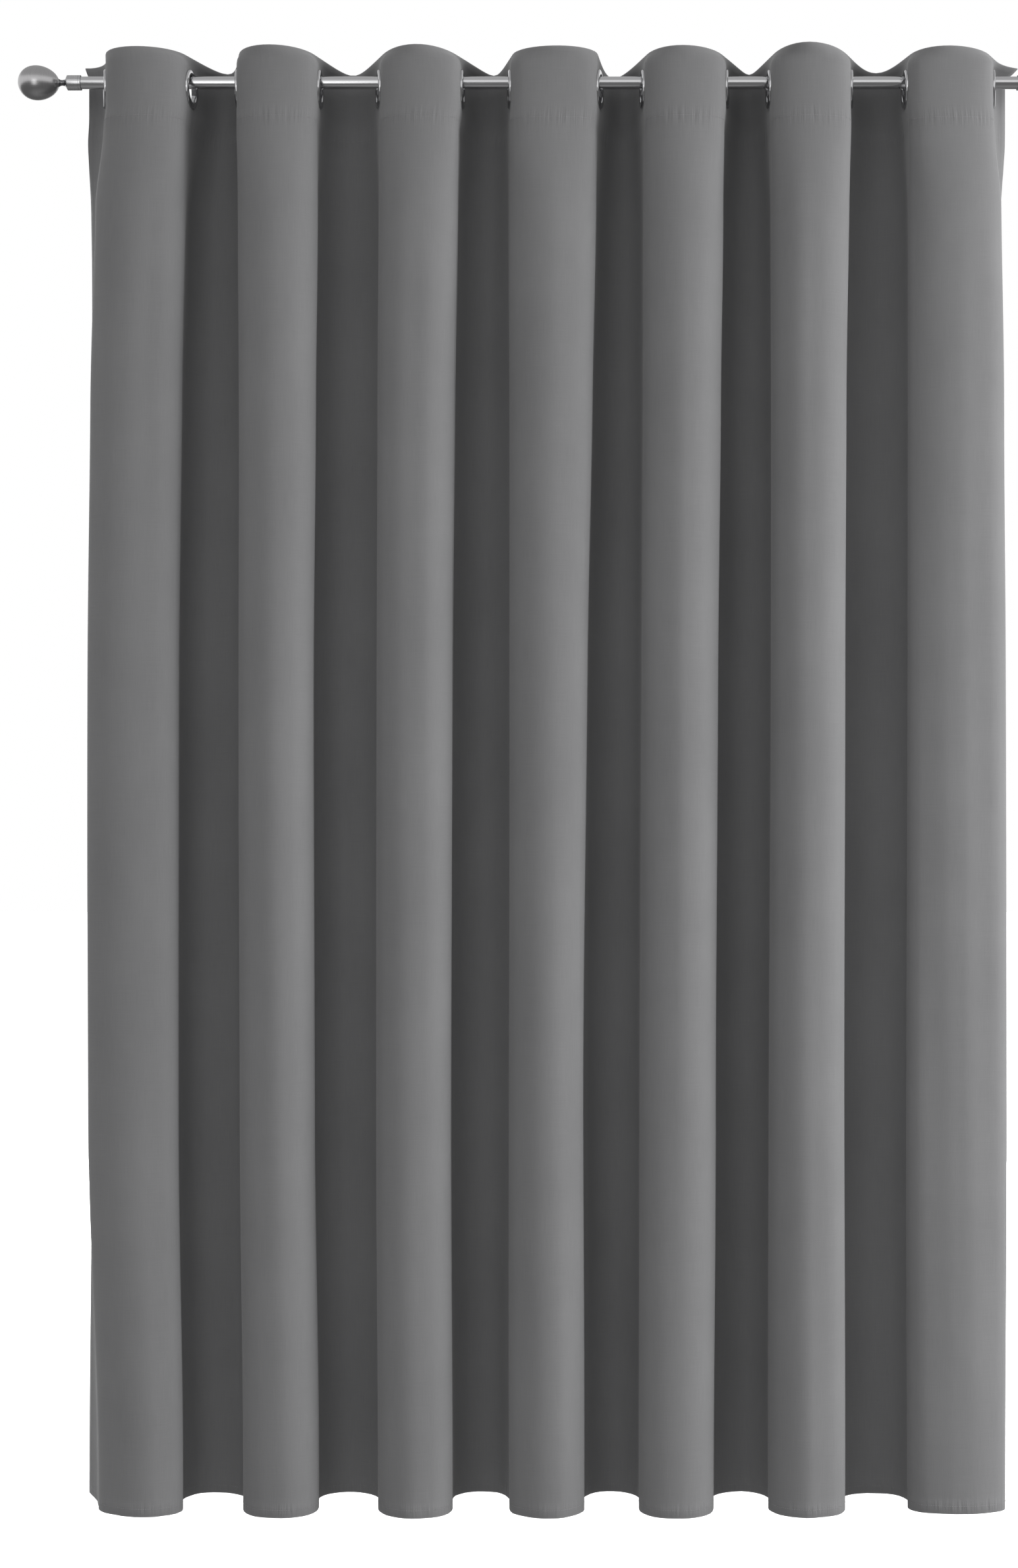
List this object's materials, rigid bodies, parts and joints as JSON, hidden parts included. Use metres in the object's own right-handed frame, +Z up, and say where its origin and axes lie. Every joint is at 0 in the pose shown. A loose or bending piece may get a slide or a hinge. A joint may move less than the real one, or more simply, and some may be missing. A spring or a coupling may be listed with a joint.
{
  "type": "eyelet curtain panel on a pole",
  "caption": "Floor-length grey blackout curtain panel in deep even folds, sliding by metal eyelet rings on a round satin pole with egg-shaped finials.",
  "frame": {"origin": "the middle of the pole's length, on the pole's axis, where the brackets' line holds it up", "axes": "+X along the pole, from the gathering end towards the leading end; +Z up; the room side of the curtain faces -Y"},
  "size_m": [1.6756, 0.1459, 2.2859],
  "materials": {
    "cloth": "dim-out weave, slight sheen",
    "stiffener": "bonded fibre strip",
    "eyelet": "polished nickel plate",
    "pole": "satin nickel plate",
    "collar": "satin nickel plate",
    "neck": "dark polished nickel",
    "egg": "satin nickel plate",
    "screw": "zinc plate"
  },
  "bodies": {
    "pole": {"pole_tube": "pole", "finial_collar_left": "collar", "finial_neck_left": "neck", "finial_bolt_left": "screw", "finial_egg_left": "egg", "finial_grub_screw_left": "screw", "finial_collar_right": "collar", "finial_neck_right": "neck", "finial_bolt_right": "screw", "finial_egg_right": "egg", "finial_grub_screw_right": "screw", "curtain_fabric": "cloth", "header_stiffener": "stiffener"},
    "eyelet_01": {"eyelet_01_front_ring": "eyelet", "eyelet_01_back_ring": "eyelet"},
    "eyelet_02": {"eyelet_02_front_ring": "eyelet", "eyelet_02_back_ring": "eyelet"},
    "eyelet_03": {"eyelet_03_front_ring": "eyelet", "eyelet_03_back_ring": "eyelet"},
    "eyelet_04": {"eyelet_04_front_ring": "eyelet", "eyelet_04_back_ring": "eyelet"},
    "eyelet_05": {"eyelet_05_front_ring": "eyelet", "eyelet_05_back_ring": "eyelet"},
    "eyelet_06": {"eyelet_06_front_ring": "eyelet", "eyelet_06_back_ring": "eyelet"},
    "eyelet_07": {"eyelet_07_front_ring": "eyelet", "eyelet_07_back_ring": "eyelet"},
    "eyelet_08": {"eyelet_08_front_ring": "eyelet", "eyelet_08_back_ring": "eyelet"},
    "eyelet_09": {"eyelet_09_front_ring": "eyelet", "eyelet_09_back_ring": "eyelet"},
    "eyelet_10": {"eyelet_10_front_ring": "eyelet", "eyelet_10_back_ring": "eyelet"},
    "eyelet_11": {"eyelet_11_front_ring": "eyelet", "eyelet_11_back_ring": "eyelet"},
    "eyelet_12": {"eyelet_12_front_ring": "eyelet", "eyelet_12_back_ring": "eyelet"},
    "eyelet_13": {"eyelet_13_front_ring": "eyelet", "eyelet_13_back_ring": "eyelet"},
    "eyelet_14": {"eyelet_14_front_ring": "eyelet", "eyelet_14_back_ring": "eyelet"}
  },
  "joints": [
    {"name": "eyelet_01_slide", "type": "slide", "parent": "pole", "child": "eyelet_01", "axis": [1, 0, 0], "range_m": [-0.02581, 0]},
    {"name": "eyelet_02_slide", "type": "slide", "parent": "pole", "child": "eyelet_02", "axis": [1, 0, 0], "range_m": [-0.11787, 0]},
    {"name": "eyelet_03_slide", "type": "slide", "parent": "pole", "child": "eyelet_03", "axis": [1, 0, 0], "range_m": [-0.17157, 0]},
    {"name": "eyelet_04_slide", "type": "slide", "parent": "pole", "child": "eyelet_04", "axis": [1, 0, 0], "range_m": [-0.25917, 0]},
    {"name": "eyelet_05_slide", "type": "slide", "parent": "pole", "child": "eyelet_05", "axis": [1, 0, 0], "range_m": [-0.32655, 0]},
    {"name": "eyelet_06_slide", "type": "slide", "parent": "pole", "child": "eyelet_06", "axis": [1, 0, 0], "range_m": [-0.41568, 0]},
    {"name": "eyelet_07_slide", "type": "slide", "parent": "pole", "child": "eyelet_07", "axis": [1, 0, 0], "range_m": [-0.47078, 0]},
    {"name": "eyelet_08_slide", "type": "slide", "parent": "pole", "child": "eyelet_08", "axis": [1, 0, 0], "range_m": [-0.56703, 0]},
    {"name": "eyelet_09_slide", "type": "slide", "parent": "pole", "child": "eyelet_09", "axis": [1, 0, 0], "range_m": [-0.61696, 0]},
    {"name": "eyelet_10_slide", "type": "slide", "parent": "pole", "child": "eyelet_10", "axis": [1, 0, 0], "range_m": [-0.70679, 0]},
    {"name": "eyelet_11_slide", "type": "slide", "parent": "pole", "child": "eyelet_11", "axis": [1, 0, 0], "range_m": [-0.75603, 0]},
    {"name": "eyelet_12_slide", "type": "slide", "parent": "pole", "child": "eyelet_12", "axis": [1, 0, 0], "range_m": [-0.84363, 0]},
    {"name": "eyelet_13_slide", "type": "slide", "parent": "pole", "child": "eyelet_13", "axis": [1, 0, 0], "range_m": [-0.90585, 0]},
    {"name": "eyelet_14_slide", "type": "slide", "parent": "pole", "child": "eyelet_14", "axis": [1, 0, 0], "range_m": [-1, 0], "deforming": ["curtain_fabric", "header_stiffener"]}
  ],
  "couplings": [
    {"joint": "eyelet_01_slide", "follows": "eyelet_14_slide", "ratio": 0.025806},
    {"joint": "eyelet_02_slide", "follows": "eyelet_14_slide", "ratio": 0.11787},
    {"joint": "eyelet_03_slide", "follows": "eyelet_14_slide", "ratio": 0.17157},
    {"joint": "eyelet_04_slide", "follows": "eyelet_14_slide", "ratio": 0.25917},
    {"joint": "eyelet_05_slide", "follows": "eyelet_14_slide", "ratio": 0.32654},
    {"joint": "eyelet_06_slide", "follows": "eyelet_14_slide", "ratio": 0.41568},
    {"joint": "eyelet_07_slide", "follows": "eyelet_14_slide", "ratio": 0.47078},
    {"joint": "eyelet_08_slide", "follows": "eyelet_14_slide", "ratio": 0.56703},
    {"joint": "eyelet_09_slide", "follows": "eyelet_14_slide", "ratio": 0.61696},
    {"joint": "eyelet_10_slide", "follows": "eyelet_14_slide", "ratio": 0.70679},
    {"joint": "eyelet_11_slide", "follows": "eyelet_14_slide", "ratio": 0.75603},
    {"joint": "eyelet_12_slide", "follows": "eyelet_14_slide", "ratio": 0.84363},
    {"joint": "eyelet_13_slide", "follows": "eyelet_14_slide", "ratio": 0.90585}
  ]
}
